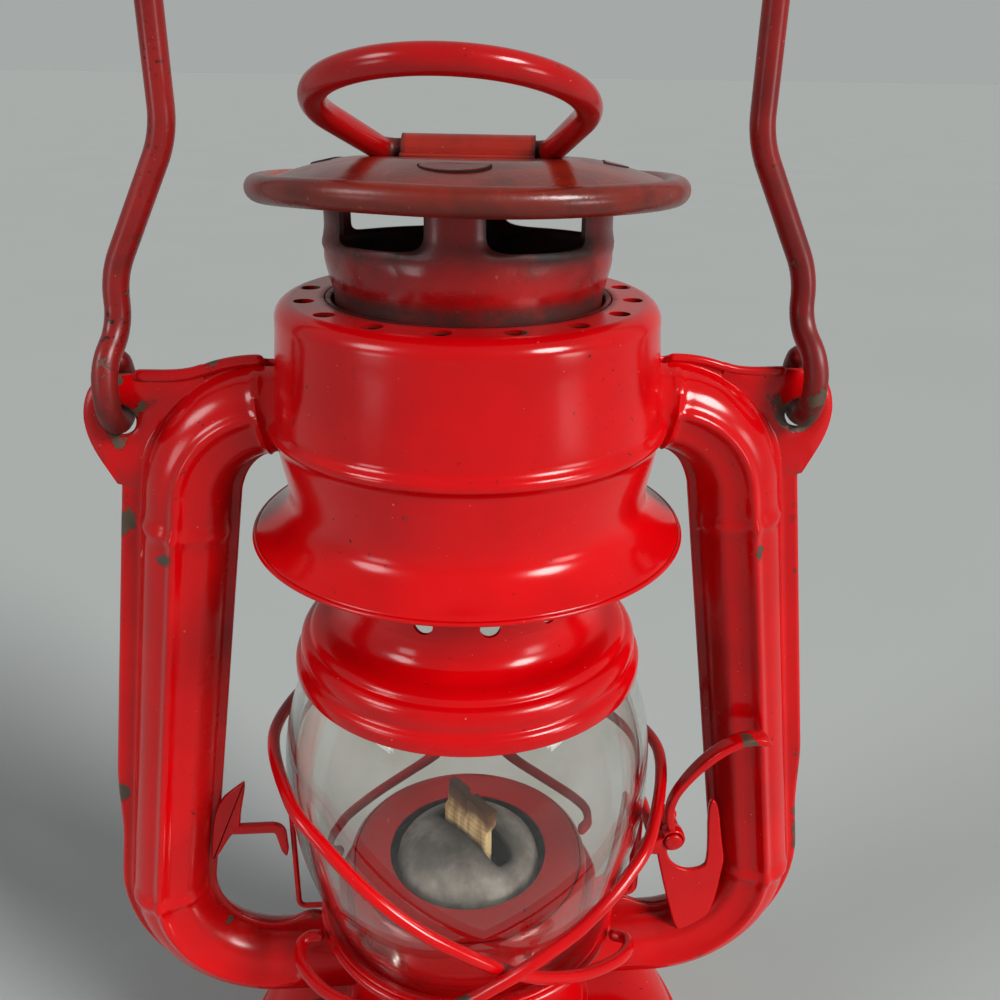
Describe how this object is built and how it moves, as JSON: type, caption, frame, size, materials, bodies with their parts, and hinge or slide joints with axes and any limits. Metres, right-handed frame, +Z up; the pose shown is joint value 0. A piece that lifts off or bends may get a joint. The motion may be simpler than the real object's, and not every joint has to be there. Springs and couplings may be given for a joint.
{
  "type": "hurricane lantern",
  "caption": "Small wick lantern with a round fount, side air tubes, glass globe in a wire guard, globe lift lever, lifting chimney with ring, perforated hood and swinging wire bail.",
  "frame": {"origin": "on the ground under the middle of the fount", "axes": "+Z up along the globe's axis, +X to the side of the lift lever, -Y to the front"},
  "size_m": [0.1234, 0.0884, 0.2626],
  "materials": {
    "red_enamel": "gloss red enamel with small chips",
    "burnt_enamel": "heat-browned red enamel with soot",
    "bail_enamel": "worn dull red enamel",
    "tin": "tinned steel",
    "burner_grey": "dull heat-greyed steel",
    "glass": "clear, lightly soiled",
    "wick_cotton": "woven cotton, charred at the top",
    "seal": "matt"
  },
  "bodies": {
    "frame": {"fount_bowl": "red_enamel", "fount_top": "red_enamel", "filler_neck": "tin", "burner_collar": "tin", "air_chamber": "red_enamel", "tube_right_front": "red_enamel", "tube_right_rear": "red_enamel", "tube_left_front": "red_enamel", "tube_left_rear": "red_enamel", "hood": "red_enamel", "burner_cup": "tin", "wick_tube": "tin", "burner_cone": "burner_grey", "lift_bracket": "red_enamel", "left_guide": "red_enamel"},
    "bail": {"bail": "bail_enamel"},
    "globe_carriage": {"gallery": "red_enamel", "globe": "glass", "guard_wire_left": "red_enamel", "guard_wire_right": "red_enamel", "lift_arm": "red_enamel", "guide_arm": "red_enamel"},
    "lever": {"lift_lever": "red_enamel"},
    "chimney": {"bell": "red_enamel", "crown": "burnt_enamel", "cap": "burnt_enamel"},
    "ring": {"lifting_ring": "red_enamel"},
    "wick_shaft": {"wick_spindle": "tin", "sprocket_inner": "tin", "sprocket_outer": "tin", "wick_knob": "tin"},
    "wick_strip": {"wick": "wick_cotton"},
    "seal": {"cap_seal": "seal"},
    "filler_lid": {"filler_cap": "tin"}
  },
  "joints": [
    {"name": "bail_swing", "type": "hinge", "parent": "frame", "child": "bail", "pos_m": [0, 0, 0.16286], "axis": [1, 0, 0], "range_deg": [-100, 100]},
    {"name": "globe_lift", "type": "slide", "parent": "frame", "child": "globe_carriage", "axis": [0, 0, 1], "range_m": [0, 0.0031]},
    {"name": "lever_turn", "type": "hinge", "parent": "frame", "child": "lever", "pos_m": [0.0346, -0.0094, 0.085], "axis": [0, 1, 0], "range_deg": [0, 50]},
    {"name": "chimney_lift", "type": "slide", "parent": "globe_carriage", "child": "chimney", "axis": [0, 0, 1], "range_m": [0, 0.012]},
    {"name": "ring_turn", "type": "hinge", "parent": "chimney", "child": "ring", "pos_m": [0, 0, 0.19535], "axis": [-0.9903, 0.1392, 0], "range_deg": [0, 144]},
    {"name": "wick_turn", "type": "hinge", "parent": "frame", "child": "wick_shaft", "pos_m": [-0.00369, -0.00299, 0.055], "axis": [0.6293, -0.7771, 0], "range_deg": [-130, 65]},
    {"name": "wick_feed", "type": "slide", "parent": "frame", "child": "wick_strip", "axis": [0, 0, 1], "range_m": [-0.008, 0.0042]},
    {"name": "filler_rise", "type": "slide", "parent": "frame", "child": "seal", "axis": [0, 0, 1], "range_m": [0, 0.0041]},
    {"name": "filler_turn", "type": "hinge", "parent": "seal", "child": "filler_lid", "pos_m": [-0.02642, -0.01716, 0.048], "axis": [0, 0, 1], "range_deg": [0, 720]}
  ],
  "couplings": [
    {"joint": "lever_turn", "follows": "globe_lift", "rad_per_m": 277.78},
    {"joint": "wick_feed", "follows": "wick_turn", "m_per_rad": 0.0034},
    {"joint": "filler_rise", "follows": "filler_turn", "m_per_rad": 0.00031831}
  ]
}
